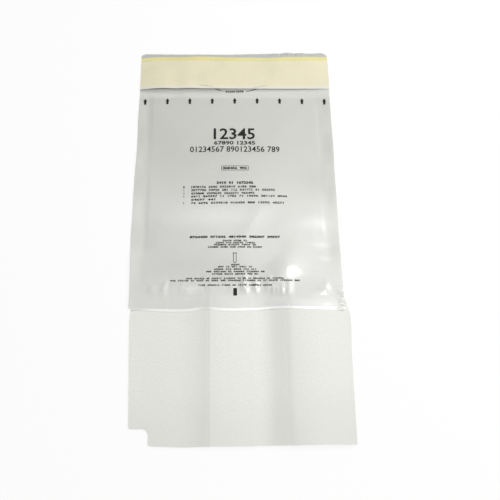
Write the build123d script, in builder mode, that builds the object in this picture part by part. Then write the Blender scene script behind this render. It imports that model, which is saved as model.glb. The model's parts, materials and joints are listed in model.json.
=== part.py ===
"""A specimen transport bag lying flat, with the absorbent sheet that goes into it.

X runs across the bag, Y along it towards the mouth, and Z up from the table.
The origin is on the table, in the middle of the bag and sheet together.
All sizes are in millimetres.
"""

import os

from build123d import *

# Outline of the bag and the films that it is welded from
bag_width = 240.0
bag_length = 340.0
bag_corner = 4.0
film = 0.15
side_weld = 13.0
bottom_weld = 13.5

# Specimen chamber: its height over the back film, and the runs of its slopes
crest_height = 8.2
neck_height = 5.2
bottom_run = 50.0
neck_run = 60.0
side_run = 35.0

# Closure above the fold line: two adhesive strips, each under its own liner
lip = 6.0
lip_corner = 6.0
liner_height = 43.0
liner_step = 6.0
liner = 0.12
adhesive = 0.10
adhesive_inset = 5.0
ply_gap = 0.3
fold_gap = 0.4

# Document pouch: a third film behind the back film, open at its upper edge
pouch_drop = 12.5

# Absorbent sheet: three panels between two creases, partly under the bag
left_panel = 83.0
middle_panel = 85.0
right_panel = 69.0
sheet_length = 200.0
sheet_showing = 144.0
sheet = 1.0
sheet_corner = 3.0
sheet_clearance = 0.3
crease_gap = 0.3
notch_width = 21.0
notch_height = 17.0
notch_corner = 7.0

# Where the back of the bag comes down from the sheet to the table
ramp_start = 3.0
ramp_run = 15.0

# Heights in the stack of films
back_top = 2 * film
crest_z = back_top + crest_height
neck_z = back_top + neck_height
bag_rest = sheet + sheet_clearance
liner_z = back_top + adhesive
flange_z = liner_z + liner + ply_gap
below = -bag_rest

# Places along the bag
bottom_y = (sheet_showing - bag_length) / 2
mouth_y = bottom_y + bag_length
yellow_top_y = mouth_y - lip
white_top_y = yellow_top_y - liner_step
fold_y = white_top_y - liner_height
pouch_y = fold_y - pouch_drop
ramp_y = bottom_y + sheet_length - sheet_showing + ramp_start
table_y = ramp_y + ramp_run
body_end_y = fold_y - fold_gap / 2
flap_start_y = fold_y + fold_gap / 2

# Places across the bag and the sheet
bag_edge = bag_width / 2
weld_edge = bag_edge - side_weld
neck_edge = weld_edge - side_run * neck_height / crest_height
sheet_right = bag_edge
right_crease = sheet_right - right_panel
left_crease = right_crease - middle_panel
sheet_left = left_crease - left_panel
sheet_bottom_y = bottom_y - sheet_showing


def lengthwise(profile):
    """Face under a line of (y, z) points, in the plane that cuts the bag lengthwise."""
    with BuildSketch(Plane.YZ) as section:
        with BuildLine():
            Polyline((profile[0][0], below), *profile, (profile[-1][0], below), close=True)
        make_face()
    return section.sketch


def crosswise(profile):
    """Face under a line of (x, z) points, in the plane that cuts the bag crosswise."""
    with BuildSketch(Plane.XZ) as section:
        with BuildLine():
            Polyline((profile[0][0], below), *profile, (profile[-1][0], below), close=True)
        make_face()
    return section.sketch


def lying(height, end_y):
    """Face under a ply that lies on the sheet and, past the ramp, on the table."""
    profile = [(bottom_y, bag_rest), (ramp_y, bag_rest), (table_y, 0), (end_y, 0)]
    return lengthwise([(y, z + height) for y, z in profile])


def chamber_lengthwise(lift):
    """Face under the front film's long profile, from the bottom weld to the neck."""
    profile = [
        (bottom_y + bottom_weld, bag_rest + back_top),
        (bottom_y + bottom_weld + bottom_run, crest_z),
        (fold_y - neck_run, crest_z),
        (body_end_y, neck_z),
    ]
    return lengthwise([(y, z + lift) for y, z in profile])


def chamber_crosswise(lift):
    """Face under the front film's cross profile, from weld to weld."""
    left = [(-weld_edge, back_top), (side_run - weld_edge, crest_z)]
    right = [(-x, z) for x, z in reversed(left)]
    return crosswise([(x, z + lift) for x, z in left + right])


def flap_layer(lift, thickness, end_y):
    """Cross section of a layer that arches over the mouth above the fold line."""
    left = [(-bag_edge, flange_z), (-weld_edge, flange_z), (-neck_edge, neck_z)]
    line = left + [(-x, z) for x, z in reversed(left)]
    under = [(x, z + lift) for x, z in line]
    over = [(x, z + lift + thickness) for x, z in reversed(line)]
    with BuildSketch(Plane.XZ.offset(-end_y)) as section:
        with BuildLine():
            Polyline(*under, *over, close=True)
        make_face()
    return section.sketch


def strip(underside, start_y, end_y, corner=0.0):
    """Flat strip across the whole bag, with its two upper corners rounded."""
    with BuildSketch(Plane.XY.offset(underside)) as outline:
        with Locations((0, (start_y + end_y) / 2)):
            Rectangle(bag_width, end_y - start_y)
        if corner > 0:
            fillet(outline.vertices().group_by(Axis.Y)[-1], corner)
    return outline.sketch


def panel(left, right):
    """Flat panel of the absorbent sheet between two lines along its length."""
    with BuildSketch(Plane.XY) as outline:
        with Locations(((left + right) / 2, sheet_bottom_y + sheet_length / 2)):
            Rectangle(right - left, sheet_length)
    return outline.sketch


# Plan of the welded part of the bag, with the two bottom corners rounded
with BuildSketch(Plane.XY.offset(below)) as bag_plan:
    with Locations((0, (bottom_y + body_end_y) / 2)):
        Rectangle(bag_width, body_end_y - bottom_y)
    fillet(bag_plan.vertices().group_by(Axis.Y)[0], bag_corner)
plan_depth = crest_z + film - 2 * below

# Document pouch film, next to the table
with BuildPart() as document_pouch_film:
    extrude(lying(film, pouch_y), amount=bag_edge, both=True)
    extrude(lying(0, pouch_y), amount=bag_edge, both=True, mode=Mode.SUBTRACT)
    extrude(bag_plan.sketch, amount=plan_depth, mode=Mode.INTERSECT)
document_pouch_film.part.label = "document_pouch_film"

# Back film of the specimen chamber, up to the fold line
with BuildPart() as back_film:
    extrude(lying(back_top, body_end_y), amount=bag_edge, both=True)
    extrude(lying(film, body_end_y), amount=bag_edge, both=True, mode=Mode.SUBTRACT)
    extrude(bag_plan.sketch, amount=plan_depth, mode=Mode.INTERSECT)
back_film.part.label = "back_film"

# Room inside the specimen chamber, with all that lies below it
with BuildPart() as chamber_room:
    extrude(chamber_lengthwise(0), amount=bag_edge, both=True)
    extrude(chamber_crosswise(0), amount=bag_length, both=True, mode=Mode.INTERSECT)

# Front film of the specimen chamber, up to the fold line
with BuildPart() as front_film:
    extrude(chamber_lengthwise(film), amount=bag_edge, both=True)
    extrude(chamber_crosswise(film), amount=bag_length, both=True, mode=Mode.INTERSECT)
    extrude(lying(back_top + film, body_end_y), amount=bag_edge, both=True)
    extrude(lying(back_top, body_end_y), amount=bag_edge, both=True, mode=Mode.SUBTRACT)
    add(chamber_room.part, mode=Mode.SUBTRACT)
    extrude(bag_plan.sketch, amount=plan_depth, mode=Mode.INTERSECT)
front_film.part.label = "front_film"

# Back film above the fold line, with the lip that stands past the front film
with BuildPart() as back_film_flap:
    extrude(strip(film, flap_start_y, mouth_y, lip_corner), amount=film)
back_film_flap.part.label = "back_film_flap"

# Adhesive that closes the mouth, on the inner face of the back film
with BuildPart() as mouth_adhesive:
    mouth_strip = strip(
        back_top, yellow_top_y - liner_height + adhesive_inset, yellow_top_y - adhesive_inset
    )
    extrude(mouth_strip, amount=adhesive)
mouth_adhesive.part.label = "mouth_adhesive"

# Yellow liner over the mouth adhesive
with BuildPart() as yellow_liner:
    extrude(strip(liner_z, yellow_top_y - liner_height, yellow_top_y), amount=liner)
yellow_liner.part.label = "yellow_liner"

# Front film above the fold line
flap_length = white_top_y - flap_start_y
with BuildPart() as front_film_flap:
    extrude(flap_layer(0, film, white_top_y), amount=flap_length)
front_film_flap.part.label = "front_film_flap"

# Adhesive that holds the folded flap down, on the outer face of the front film
with BuildPart() as fold_adhesive:
    extrude(
        flap_layer(film, adhesive, white_top_y - adhesive_inset),
        amount=flap_length - 2 * adhesive_inset,
    )
fold_adhesive.part.label = "fold_adhesive"

# White liner over the fold adhesive
with BuildPart() as white_liner:
    extrude(flap_layer(film + adhesive, liner, white_top_y), amount=flap_length)
white_liner.part.label = "white_liner"

# Left panel of the absorbent sheet, with the notch cut from its lower corner
with BuildPart() as absorbent_left_panel:
    with BuildSketch(Plane.XY) as left_plan:
        add(panel(sheet_left, left_crease - crease_gap / 2))
        with Locations((sheet_left, sheet_bottom_y)):
            Rectangle(2 * notch_width, 2 * notch_height, mode=Mode.SUBTRACT)
        notch_edge = left_plan.vertices().filter_by_position(
            Axis.Y, sheet_bottom_y, sheet_bottom_y + notch_height
        )
        inner_corner = notch_edge.sort_by_distance(
            (sheet_left + notch_width, sheet_bottom_y + notch_height)
        )[0]
        outer_corners = notch_edge.filter_by_position(
            Axis.X, sheet_left, sheet_left + notch_width
        ).sort_by_distance(inner_corner)[1:]
        fillet(inner_corner, notch_corner)
        fillet(outer_corners, sheet_corner)
    extrude(amount=sheet)
absorbent_left_panel.part.label = "absorbent_left_panel"

# Middle panel of the absorbent sheet
with BuildPart() as absorbent_middle_panel:
    extrude(panel(left_crease + crease_gap / 2, right_crease - crease_gap / 2), amount=sheet)
absorbent_middle_panel.part.label = "absorbent_middle_panel"

# Right panel of the absorbent sheet
with BuildPart() as absorbent_right_panel:
    with BuildSketch(Plane.XY) as right_plan:
        add(panel(right_crease + crease_gap / 2, sheet_right))
        fillet(right_plan.vertices().group_by(Axis.X)[-1], sheet_corner)
    extrude(amount=sheet)
absorbent_right_panel.part.label = "absorbent_right_panel"

pieces = [
    document_pouch_film,
    back_film,
    front_film,
    back_film_flap,
    mouth_adhesive,
    yellow_liner,
    front_film_flap,
    fold_adhesive,
    white_liner,
    absorbent_left_panel,
    absorbent_middle_panel,
    absorbent_right_panel,
]

os.makedirs("parts", exist_ok=True)
for piece in pieces:
    export_step(piece.part, f"parts/{piece.part.label}.step")
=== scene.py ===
"""Looks of a specimen transport bag and its absorbent sheet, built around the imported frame.

X runs across the bag, Y along it towards its mouth and Z up from the table, all in metres.
"""

import json
import logging
import math
from dataclasses import dataclass, field
from enum import Enum
from typing import Callable, ClassVar, Sequence

import bmesh
import bpy
import numpy as np
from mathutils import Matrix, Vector


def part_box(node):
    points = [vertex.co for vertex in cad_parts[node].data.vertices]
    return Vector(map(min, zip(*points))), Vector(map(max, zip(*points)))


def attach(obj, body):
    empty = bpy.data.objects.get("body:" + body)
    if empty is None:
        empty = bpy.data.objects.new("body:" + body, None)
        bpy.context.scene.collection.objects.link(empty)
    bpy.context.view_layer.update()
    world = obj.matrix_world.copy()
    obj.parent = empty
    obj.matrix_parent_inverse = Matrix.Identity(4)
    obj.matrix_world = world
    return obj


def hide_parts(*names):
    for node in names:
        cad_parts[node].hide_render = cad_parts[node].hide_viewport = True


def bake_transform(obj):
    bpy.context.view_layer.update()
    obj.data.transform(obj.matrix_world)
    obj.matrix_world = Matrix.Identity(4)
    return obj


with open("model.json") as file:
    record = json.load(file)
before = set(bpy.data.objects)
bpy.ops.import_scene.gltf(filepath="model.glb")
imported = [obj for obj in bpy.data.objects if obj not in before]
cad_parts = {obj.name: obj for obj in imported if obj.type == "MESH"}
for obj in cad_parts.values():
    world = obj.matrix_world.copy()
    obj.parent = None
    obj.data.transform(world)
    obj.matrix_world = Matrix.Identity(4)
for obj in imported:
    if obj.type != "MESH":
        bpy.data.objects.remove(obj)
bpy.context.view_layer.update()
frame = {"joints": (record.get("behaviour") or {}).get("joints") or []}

log = logging.getLogger("specimen_bag")
MM = 0.001
Array = np.ndarray
Colour = tuple[float, float, float]
Height = Callable[[Array, Array], Array]
Piece, Material, Socket = bpy.types.Object, bpy.types.Material, bpy.types.NodeSocket


def ease(t: Array) -> Array:
    """Smooth step from 0 to 1 as t goes from 0 to 1, held level outside."""
    held = np.clip(t, 0.0, 1.0)
    return held * held * (3.0 - 2.0 * held)


def mm(*values: float) -> list[float]:
    """Millimetres as metres."""
    return [MM * value for value in values]


def through(x: Array, places: Sequence[float], heights: Sequence[float]) -> Array:
    """Smooth line through a few chosen heights.

    Args:
        x: Where the line is wanted.
        places: Rising places of the chosen heights.
        heights: The height at each place.

    Returns:
        The height at each x, held level outside the places.
    """
    spots = np.asarray(places, float)
    levels = np.asarray(heights, float)
    slopes = np.gradient(levels, spots)
    held = np.clip(x, spots[0], spots[-1])
    span = np.clip(np.searchsorted(spots, held) - 1, 0, len(spots) - 2)
    wide = spots[span + 1] - spots[span]
    t = (held - spots[span]) / wide
    rise = t * t * (3.0 - 2.0 * t)
    value = levels[span] * (1.0 - rise) + levels[span + 1] * rise
    value += wide * slopes[span] * t * (1.0 - t) ** 2
    return value - wide * slopes[span + 1] * t * t * (1.0 - t)


@dataclass(frozen=True)
class Line:
    """Smooth line through chosen heights, at rising places in millimetres."""

    places: Sequence[float]
    heights: Sequence[float]
    unit: float = MM

    def __call__(self, x: Array) -> Array:
        """Height at x, in metres, or as a plain share where the unit is 1."""
        return through(x, mm(*self.places), [self.unit * height for height in self.heights])


def joint_point(name: str) -> Vector:
    """Pivot of a joint of the frame, at rest."""
    return Vector(next(j for j in frame["joints"] if j["name"] == name)["pos_m"])


class Surface:
    """Thin closed sheets, made from a grid of points on their upper face."""

    @staticmethod
    def shell(name: str, points: Array, thickness: float) -> Piece:
        """Closed thin sheet under a grid of points.

        Args:
            name: Name of the new piece.
            points: Rows by columns of upper points; columns rise in X and rows in Y.
            thickness: Thickness of the sheet.

        Returns:
            The piece, with its flat X and Y kept as its UV map.
        """
        rows, cols, _ = points.shape
        count = rows * cols
        under = points.copy()
        under[..., 2] -= thickness
        verts = np.concatenate([points.reshape(-1, 3), under.reshape(-1, 3)])
        index = np.arange(count).reshape(rows, cols)
        corners = [index[:-1, :-1], index[:-1, 1:], index[1:, 1:], index[1:, :-1]]
        top = np.stack(corners, -1).reshape(-1, 4)
        rim = np.concatenate([index[0, :-1], index[:-1, -1], index[-1, :0:-1], index[:0:-1, 0]])
        after = np.roll(rim, -1)
        sides = np.stack([rim, rim + count, after + count, after], -1)
        faces = np.concatenate([top, top[:, ::-1] + count, sides])
        return Surface.mesh(name, verts, faces.tolist())

    @staticmethod
    def mesh(name: str, verts: Array, faces: list) -> Piece:
        """Smooth-shaded piece with its flat place as UV map.

        Args:
            name: Name of the new piece.
            verts: Its points.
            faces: Its faces, as lists of point numbers.

        Returns:
            The piece.
        """
        data = bpy.data.meshes.new(name)
        data.from_pydata(np.asarray(verts).tolist(), [], faces)
        data.polygons.foreach_set("use_smooth", [True] * len(data.polygons))
        data.set_sharp_from_angle(angle=math.radians(50.0))
        flat = data.uv_layers.new(name="flat")
        which = np.zeros(len(data.loops), int)
        data.loops.foreach_get("vertex_index", which)
        flat.data.foreach_set("uv", np.asarray(verts)[which][:, :2].ravel())
        return Surface.place(name, data)

    @staticmethod
    def place(name: str, data: bpy.types.ID) -> Piece:
        """Put an object into the scene.

        Args:
            name: Name of the object.
            data: The mesh, curve, lamp or camera that it holds.

        Returns:
            The object.
        """
        piece = bpy.data.objects.new(name, data)
        bpy.context.scene.collection.objects.link(piece)
        return piece

    @staticmethod
    def points(piece: Piece) -> Array:
        """Points of a piece.

        Args:
            piece: The piece.

        Returns:
            Its points, one to a row.
        """
        co = np.zeros(len(piece.data.vertices) * 3)
        piece.data.vertices.foreach_get("co", co)
        return co.reshape(-1, 3)

    @staticmethod
    def share(piece: Piece, name: str, values: Array) -> None:
        """Keep a share from 0 to 1 on each point, under the name that a finish reads."""
        kept = piece.data.attributes.new(name, "FLOAT", "POINT")
        kept.data.foreach_set("value", np.asarray(values, np.float32).ravel())


class Recipe:
    """One material's nodes, laid down a step at a time."""

    def __init__(self, name: str) -> None:
        """Start an empty material.

        Args:
            name: The material's name.
        """
        self.material = bpy.data.materials.new(name)
        self.material.use_nodes = True
        self.tree = self.material.node_tree
        self.tree.nodes.clear()
        self.output = self.tree.nodes.new("ShaderNodeOutputMaterial")

    def add(self, kind: str, settings: dict | None = None, **sockets: object) -> bpy.types.Node:
        """Add a node and fill its sockets.

        Args:
            kind: Blender's name for the node, without its ShaderNode start.
            settings: Values of the node itself.
            sockets: Input names, with _ for a space, and a value or an output to link.

        Returns:
            The node.
        """
        node = self.tree.nodes.new("ShaderNode" + kind)
        for key, value in (settings or {}).items():
            setattr(node, key, value)
        for key, value in sockets.items():
            socket = node.inputs[int(key[1:]) if key[1:].isdigit() else key.replace("_", " ")]
            if isinstance(value, Socket):
                self.tree.links.new(value, socket)
            else:
                socket.default_value = value
        return node

    def share(self, name: str) -> Socket:
        """Share that is kept on the points of the piece."""
        return self.add("Attribute", {"attribute_name": name}).outputs["Fac"]

    def math(self, operation: str, first: Socket, second: Socket | float) -> Socket:
        """Result of one operation on two numbers."""
        return self.add("Math", {"operation": operation}, _0=first, _1=second).outputs[0]

    def noise(self, scale: float, detail: float, squeeze: float = 1.0) -> Socket:
        """Cloudy noise over the flat sheet.

        Args:
            scale: Clouds to the metre.
            detail: How many finer layers it has.
            squeeze: How much finer it is along the sheet than across it.

        Returns:
            The noise, from 0 to 1.
        """
        flat = self.add("UVMap", {"uv_map": "flat"}).outputs[0]
        size = (scale, scale * squeeze, scale)
        place = self.add("VectorMath", {"operation": "MULTIPLY"}, _0=flat, _1=size).outputs[0]
        return self.add("TexNoise", Vector=place, Scale=1.0, Detail=detail).outputs[0]

    def shades(
        self, share: Socket, colour: Colour, times: tuple[float, float], span: tuple[float, float]
    ) -> Socket:
        """Colour that varies a little with a share.

        Args:
            share: The share.
            colour: The colour.
            times: What the colour is multiplied by at the two ends of the span.
            span: Shares at which the change starts and ends.

        Returns:
            The colour output.
        """
        ramp = self.add("ValToRGB", _0=share)
        for stop, place, factor in zip(ramp.color_ramp.elements, span, times):
            stop.position = place
            stop.color = (*(min(1.0, factor * c) for c in colour), 1.0)
        return ramp.outputs[0]

    def over(self, share: Socket, tone: Socket, colour: Colour) -> Socket:
        """Colour output with a plain colour mixed over it by a share."""
        over = {"Factor": share, "_6": tone, "_7": (*colour, 1.0)}
        return self.add("Mix", {"data_type": "RGBA"}, **over).outputs[2]

    def level(self, share: Socket, low: float, high: float) -> Socket:
        """Number that goes from low to high with a share."""
        return self.add("MapRange", Value=share, To_Min=low, To_Max=high).outputs[0]

    def bump(self, height: Socket, strength: float, depth: float, **under: Socket) -> Socket:
        """Normal of relief too fine to be modelled, over another one given as Normal."""
        made = self.add("Bump", Height=height, Strength=strength, Distance=depth, **under)
        return made.outputs[0]

    def finish(self, **sockets: object) -> Material:
        """Close the recipe with a principled shader.

        Args:
            sockets: The shader's inputs, as in add.

        Returns:
            The material.
        """
        shader = self.add("BsdfPrincipled", **sockets)
        self.tree.links.new(shader.outputs[0], self.output.inputs[0])
        return self.material


class Weld(Enum):
    """How a ply of film is held along its sides."""

    WELDED = "welded"
    LOOSE = "loose"


@dataclass(frozen=True)
class ClearFilm:
    """Grey translucent film with a soft gloss."""

    name: str
    open_colour: Colour = (0.835, 0.84, 0.795)
    weld_colour: Colour = (0.85, 0.853, 0.80)
    # Colour and alpha for milky film, used also as painted sheen and highlights.
    haze_colour: Colour = (0.95, 0.955, 0.92)
    # Colour of the painted white glint along the bottom edge.
    rim_colour: Colour = (1.0, 1.0, 0.98)
    opacity: float = 0.42
    hazy_opacity: float = 0.85
    roughness: float = 0.24
    wrinkle: float = 0.3
    clouds: float = 9.0
    crinkles: float = 120.0
    grain: float = 900.0

    def material(self) -> Material:
        """Make the film's material.

        Returns:
            The material.
        """
        recipe = Recipe(self.name)
        # Shares of painted sheen and highlights on milky film, and of a painted white glint.
        haze, rim = recipe.share("haze"), recipe.share("rim")
        cloud = recipe.noise(self.clouds, 2.0)
        tone = recipe.shades(cloud, self.open_colour, (0.975, 1.025), (0.2, 0.8))
        tone = recipe.over(recipe.share("weld"), tone, self.weld_colour)
        tone = recipe.over(haze, tone, self.haze_colour)
        crinkle, grain = recipe.noise(self.crinkles, 4.0, 0.7), recipe.noise(self.grain, 2.0)
        relief = recipe.bump(crinkle, self.wrinkle, 0.6 * MM)
        sheen_alpha = recipe.level(haze, self.opacity, self.hazy_opacity)
        return recipe.finish(
            Base_Color=recipe.over(rim, tone, self.rim_colour),
            Roughness=recipe.level(cloud, self.roughness - 0.03, self.roughness + 0.04),
            IOR=1.5,
            Alpha=recipe.math("MAXIMUM", sheen_alpha, rim),
            Coat_Weight=0.6,
            Coat_Roughness=0.08,
            Normal=recipe.bump(grain, 0.15, 0.05 * MM, Normal=relief),
        )


@dataclass(frozen=True)
class CoatedPaper:
    """Matt release paper, with faint fibres under its coating."""

    name: str
    colour: Colour
    margin_colour: Colour
    opacity: float
    roughness: float = 0.52
    fibres: float = 420.0
    clouds: float = 35.0

    def material(self) -> Material:
        """Make the paper's material.

        Returns:
            The material.
        """
        recipe = Recipe(self.name)
        fibre, cloud = recipe.noise(self.fibres, 5.0, 1.6), recipe.noise(self.clouds, 2.0)
        mottle = recipe.math("ADD", fibre, cloud)
        tone = recipe.shades(mottle, self.colour, (0.94, 1.05), (0.6, 1.4))
        relief = recipe.bump(fibre, 0.12, 0.08 * MM)
        return recipe.finish(
            Base_Color=recipe.over(recipe.share("margin"), tone, self.margin_colour),
            Roughness=self.roughness,
            Alpha=self.opacity,
            Specular_IOR_Level=0.35,
            Normal=recipe.bump(cloud, 0.3, 0.5 * MM, Normal=relief),
        )


@dataclass(frozen=True)
class TackyAdhesive:
    """Clear pressure-sensitive adhesive, faintly stringy."""

    name: str
    colour: Colour = (0.78, 0.76, 0.66)
    opacity: float = 0.18
    strings: float = 160.0

    def material(self) -> Material:
        """Make the adhesive's material.

        Returns:
            The material.
        """
        recipe = Recipe(self.name)
        strings = recipe.noise(self.strings, 3.0, 0.15)
        tone = recipe.shades(strings, self.colour, (0.9, 1.0), (0.3, 0.7))
        relief = recipe.bump(strings, 0.3, 0.1 * MM)
        return recipe.finish(Base_Color=tone, Roughness=0.2, Alpha=self.opacity, Normal=relief)


@dataclass(frozen=True)
class NonWoven:
    """White absorbent non-woven with short fibres and a soft nap."""

    name: str
    colour: Colour = (0.84, 0.845, 0.79)
    wear: float = 0.90
    fibres: float = 700.0
    tufts: float = 480.0

    def material(self) -> Material:
        """Make the absorbent's material.

        Returns:
            The material.
        """
        recipe = Recipe(self.name)
        fibre, tuft = recipe.noise(self.fibres, 6.0, 0.6), recipe.noise(self.tufts, 2.0)
        tone = recipe.shades(tuft, self.colour, (0.96, 1.03), (0.3, 0.7))
        # Colour dimmed by painted shade, and at the creases partly by flattened fibres.
        shade_tone = tuple(self.wear * c for c in self.colour)
        relief = recipe.bump(fibre, 0.5, 0.12 * MM)
        return recipe.finish(
            Base_Color=recipe.over(recipe.share("worn"), tone, shade_tone),
            Roughness=0.9,
            Specular_IOR_Level=0.2,
            Sheen_Weight=0.15,
            Sheen_Roughness=0.6,
            Normal=recipe.bump(tuft, 0.25, 0.3 * MM, Normal=relief),
        )


@dataclass(frozen=True)
class FilmInk:
    """Black flexographic ink, a little thin in places."""

    name: str
    colour: Colour = (0.010, 0.010, 0.009)
    opacity: float = 0.98
    clouds: float = 500.0

    def material(self) -> Material:
        """Make the ink's material.

        Returns:
            The material.
        """
        recipe = Recipe(self.name)
        cloud = recipe.noise(self.clouds, 3.0)
        tone = recipe.shades(cloud, self.colour, (1.0, 2.2), (0.35, 0.75))
        return recipe.finish(
            Base_Color=tone, Roughness=0.5, Alpha=self.opacity, Specular_IOR_Level=0.2
        )


@dataclass
class AbsorbentSheet:
    """White absorbent sheet: three panels, two raised creases and one notched corner."""

    left: float
    right: float
    bottom_y: float
    top_y: float
    bag_y: float
    thickness: float
    creases: tuple[float, float]
    notch: tuple[float, float] = (21.0 * MM, 19.0 * MM)
    step: float = 1.6 * MM
    bend: float = 10.0 * MM
    unevenness: float = 0.25 * MM
    left_wander: ClassVar[Line] = Line(
        (-242, -208, -167, -135, -102, -90, -42), (5.2, 3.7, 2.0, 0.7, 0.2, 2.0, 4.0)
    )
    right_wander: ClassVar[Line] = Line(
        (-242, -210, -180, -150, -102, -88, -42), (2.2, 2.6, 3.1, 3.4, 3.6, 0.0, -4.0)
    )
    groove: ClassVar[Line] = Line((-1.5, 0.0, 1.0, 3.0), (0.0, 0.0, -0.05, 0.0))
    hem: ClassVar[Line] = Line(
        (-95, -75, -60, -20, 10, 30, 60, 90, 110), (2.2, 1.2, 0.4, 0.7, 0.2, 0.6, 0.3, 0.7, 0.1)
    )
    # Painted shade in bands by the creases, where fibres are also flattened, and towards the
    # right edge.
    crushed: ClassVar[Line] = Line(
        (-58, -46, -34, -30, -28, -26, -24, 30, 33, 38, 47, 56, 60, 70, 84, 120),
        (0.0, 0.15, 0.4, 0.4, 0.1, 0.0, 0.0, 0.0, 0.05, 0.35, 0.42, 0.42, 0.25, 0.15, 0.1, 0.4),
        1.0,
    )
    # Painted shade towards the sheet's lower end, across its width.
    soiled: ClassVar[Line] = Line(
        (-120, -40, 0, 40, 80, 120), (0.6, 0.55, 0.65, 0.6, 0.55, 0.4), 1.0
    )

    @classmethod
    def from_frame(cls) -> "AbsorbentSheet":
        """Read the sheet's place from the frame.

        Returns:
            The sheet.
        """
        low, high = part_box("absorbent_left_panel")
        return cls(
            left=low.x,
            right=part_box("absorbent_right_panel")[1].x,
            bottom_y=low.y,
            top_y=high.y,
            bag_y=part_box("front_film")[0].y,
            thickness=high.z,
            creases=(
                joint_point("left_panel_fold").x + 2.2 * MM,
                joint_point("right_panel_fold").x + 1.6 * MM,
            ),
        )

    def sides(self, y: Array) -> tuple[Array, Array]:
        """X of the sheet's left and right edges at y."""
        return self.left + self.left_wander(y), self.right + self.right_wander(y)

    def tent(self, x: Array, y: Array) -> Array:
        """Height of the two broad ridges, which are highest at the bag's edge.

        Args:
            x: Places across.
            y: Places along.

        Returns:
            The height.
        """
        first, second = self.creases
        places = [-0.117, -0.080, -0.053, first - 0.006, first, first + 0.003, first + 0.006]
        heights = mm(0.0, 0.3, 1.0, 2.3, 3.05, 3.4, 3.5)
        places += [-0.008, 0.015, 0.032, 0.038, second, second + 0.006]
        heights += mm(3.1, 1.9, 1.1, 1.5, 3.9, 4.8)
        places += [0.068, 0.082, 0.10, 0.123]
        heights += mm(5.2, 5.0, 3.9, 1.8)
        shown = 0.6 + 0.4 * ease((y - self.bottom_y) / (self.bag_y - self.bottom_y))
        hidden = 1.0 - 0.85 * ease((y - self.bag_y) / (38.0 * MM))
        return through(x, places, heights) * shown * hidden

    def pressed(self, x: Array) -> Array:
        """Slight groove that is pressed in along each crease."""
        first, second = (self.groove(x - crease) for crease in self.creases)
        return first + 0.6 * second

    def top(self, x: Array, y: Array) -> Array:
        """Height of the sheet's upper face above the table, at x and y."""
        height = self.tent(x, y) + self.pressed(x) + self.swell(x, y)
        return self.thickness + np.maximum(height, 0.0)

    def swell(self, x: Array, y: Array) -> Array:
        """Slight broad unevenness, never below 0."""
        return self.unevenness * np.abs(np.sin(x * 41.0 + 1.0) * np.sin(y * 33.0 + 0.6))

    def half(self, name: str, start: float, end: float) -> Piece:
        """One half of the sheet, with finer columns at the crease that it holds.

        Args:
            name: Name of the piece.
            start: Its left side.
            end: Its right side.

        Returns:
            The piece.
        """
        low, high = self.creases
        even = np.linspace(start, end, 1 + round((end - start) / self.step))
        fine = [c + k * 0.5 * MM for c in (low, high) for k in range(-4, 13) if start < c < end]
        columns = np.unique(np.round(np.concatenate([even, fine]), 6))
        length = self.top_y - self.bottom_y
        rows = np.linspace(self.bottom_y, self.top_y, 1 + round(length / self.step))
        x, y = np.meshgrid(columns, rows)
        left, right = self.sides(y)
        out = np.where(x < low, left - self.left, right - self.right)
        edge, crease = np.where(x < low, self.left, self.right), np.where(x < low, low, high)
        x = x + out * np.where((x < low) | (x > high), (x - crease) / (edge - crease), 0.0)
        height = self.top(x, y)
        y = y + self.hem(x) * (1.0 - ease((y - self.bottom_y) / (14.0 * MM)))
        return Surface.shell(name, np.stack([x, y, height], -1), self.thickness)

    def worn_share(self, piece: Piece) -> Array:
        """How much painted shade darkens the sheet: towards its lower end, most at its lower left
        corner, none near the bag but by the creases, where fibres are also pressed flat.

        Args:
            piece: One half of the sheet.

        Returns:
            The share at each of its points.
        """
        co = Surface.points(piece)
        low = ease((self.bag_y - 75.0 * MM - co[:, 1]) / (65.0 * MM))
        return self.soiled(co[:, 0]) * low + self.crushed(co[:, 0]) * (1.0 + 0.4 * low)

    def notch_cutter(self) -> Piece:
        """Rounded prism that cuts the notch.

        Returns:
            The prism, to be removed after the cut.
        """
        wide, tall = self.notch
        inner, outer, low = 7.5 * MM, 3.5 * MM, 5.5 * MM
        x0, y0 = self.left + 4.0 * MM, self.bottom_y
        far, past = 10.0 * MM, 0.01 * MM
        line = [(x0 - far, y0 - far), (x0 + wide + low, y0 - far)]
        line.append((x0 + wide + low, y0 - past))
        for cx, cy, radius, start, turn in (
            (x0 + wide + low, y0 + low, low, -90.0, -90.0),
            (x0 + wide - inner, y0 + tall - inner, inner, 0.0, 90.0),
            (x0 + outer, y0 + tall + outer, outer, -90.0, -90.0),
        ):
            for k in range(11):
                a = math.radians(start + turn * k / 10)
                line.append((cx + radius * math.cos(a), cy + radius * math.sin(a)))
        line.append((x0 - far, y0 + tall + outer))
        count = len(line)
        verts = [(x, y, z) for z in mm(-5.0, 20.0) for x, y in line]
        faces = [list(range(count))[::-1], list(range(count, 2 * count))]
        faces += [[k, (k + 1) % count, count + (k + 1) % count, count + k] for k in range(count)]
        data = bpy.data.meshes.new("notch_cutter")
        data.from_pydata(verts, [], faces)
        return Surface.place("notch_cutter", data)

    def cut_notch(self, piece: Piece) -> None:
        """Cut the notch from a piece.

        Args:
            piece: The piece that holds the sheet's lower left corner.
        """
        cutter = self.notch_cutter()
        cut = piece.modifiers.new("notch", "BOOLEAN")
        cut.operation, cut.solver, cut.object = "DIFFERENCE", "EXACT", cutter
        graph = bpy.context.evaluated_depsgraph_get()
        result = bpy.data.meshes.new_from_object(piece.evaluated_get(graph))
        old = piece.data
        piece.modifiers.remove(cut)
        piece.data = result
        bpy.data.meshes.remove(old)
        bpy.data.objects.remove(cutter)

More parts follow.
